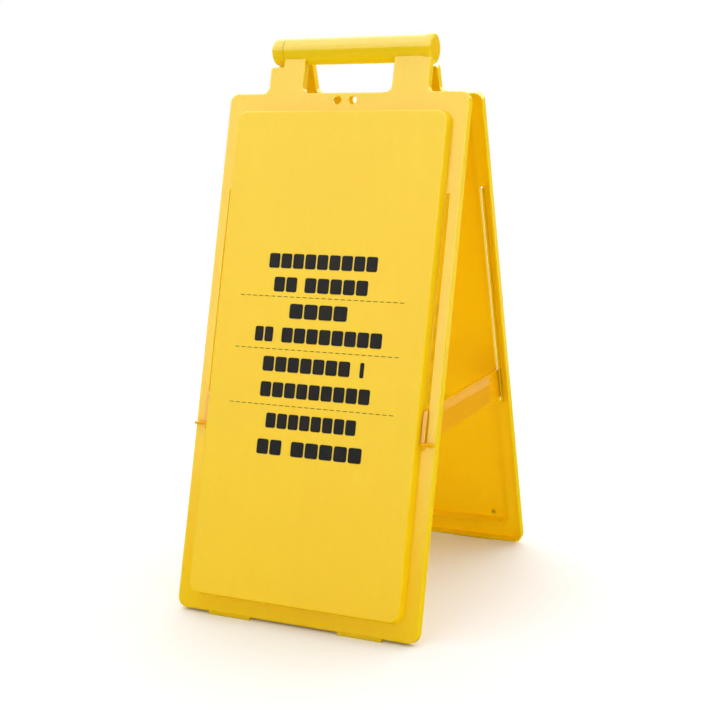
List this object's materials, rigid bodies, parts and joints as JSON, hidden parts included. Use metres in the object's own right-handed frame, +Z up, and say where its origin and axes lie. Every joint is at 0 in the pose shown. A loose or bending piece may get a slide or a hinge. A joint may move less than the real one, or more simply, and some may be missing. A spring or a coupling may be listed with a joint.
{
  "type": "sandwich board",
  "caption": "Folding A-frame floor sign: two raised-panel plastic leaves hinged at a tubular carry handle, held open by side stays that slide in long slots.",
  "frame": {"origin": "on the floor, under the hinge axis, midway across the width", "axes": "+Z up, +X across the sign to the right as seen from the front leaf, front leaf towards -Y"},
  "size_m": [0.3, 0.3892, 0.6495],
  "materials": {
    "leaf": "glossy yellow polypropylene",
    "stay": "glossy yellow polypropylene",
    "rod": "satin yellow extruded tube",
    "legend": "black screen ink",
    "plug": "glossy yellow plug"
  },
  "bodies": {
    "front_leaf": {"front_leaf": "leaf", "hinge_rod": "rod", "end_plug": "plug"},
    "rear_leaf": {"rear_leaf": "leaf"},
    "right_stay": {"right_stay": "stay"},
    "left_stay": {"left_stay": "stay"}
  },
  "joints": [
    {"name": "fold", "type": "hinge", "parent": "front_leaf", "child": "rear_leaf", "pos_m": [0, 0, 0.63222], "axis": [-1, 0, 0], "range_deg": [0, 31.6]},
    {"name": "right_stay_pivot", "type": "hinge", "parent": "rear_leaf", "child": "right_stay", "pos_m": [0.1358, 0.11862, 0.22772], "axis": [-1, 0, 0], "range_deg": [0, 74.2]},
    {"name": "left_stay_pivot", "type": "hinge", "parent": "rear_leaf", "child": "left_stay", "pos_m": [-0.1358, 0.11862, 0.22772], "axis": [-1, 0, 0], "range_deg": [0, 74.2]}
  ],
  "couplings": [
    {"joint": "right_stay_pivot", "follows": "fold", "ratio": 2.3481},
    {"joint": "left_stay_pivot", "follows": "fold", "ratio": 2.3481}
  ]
}
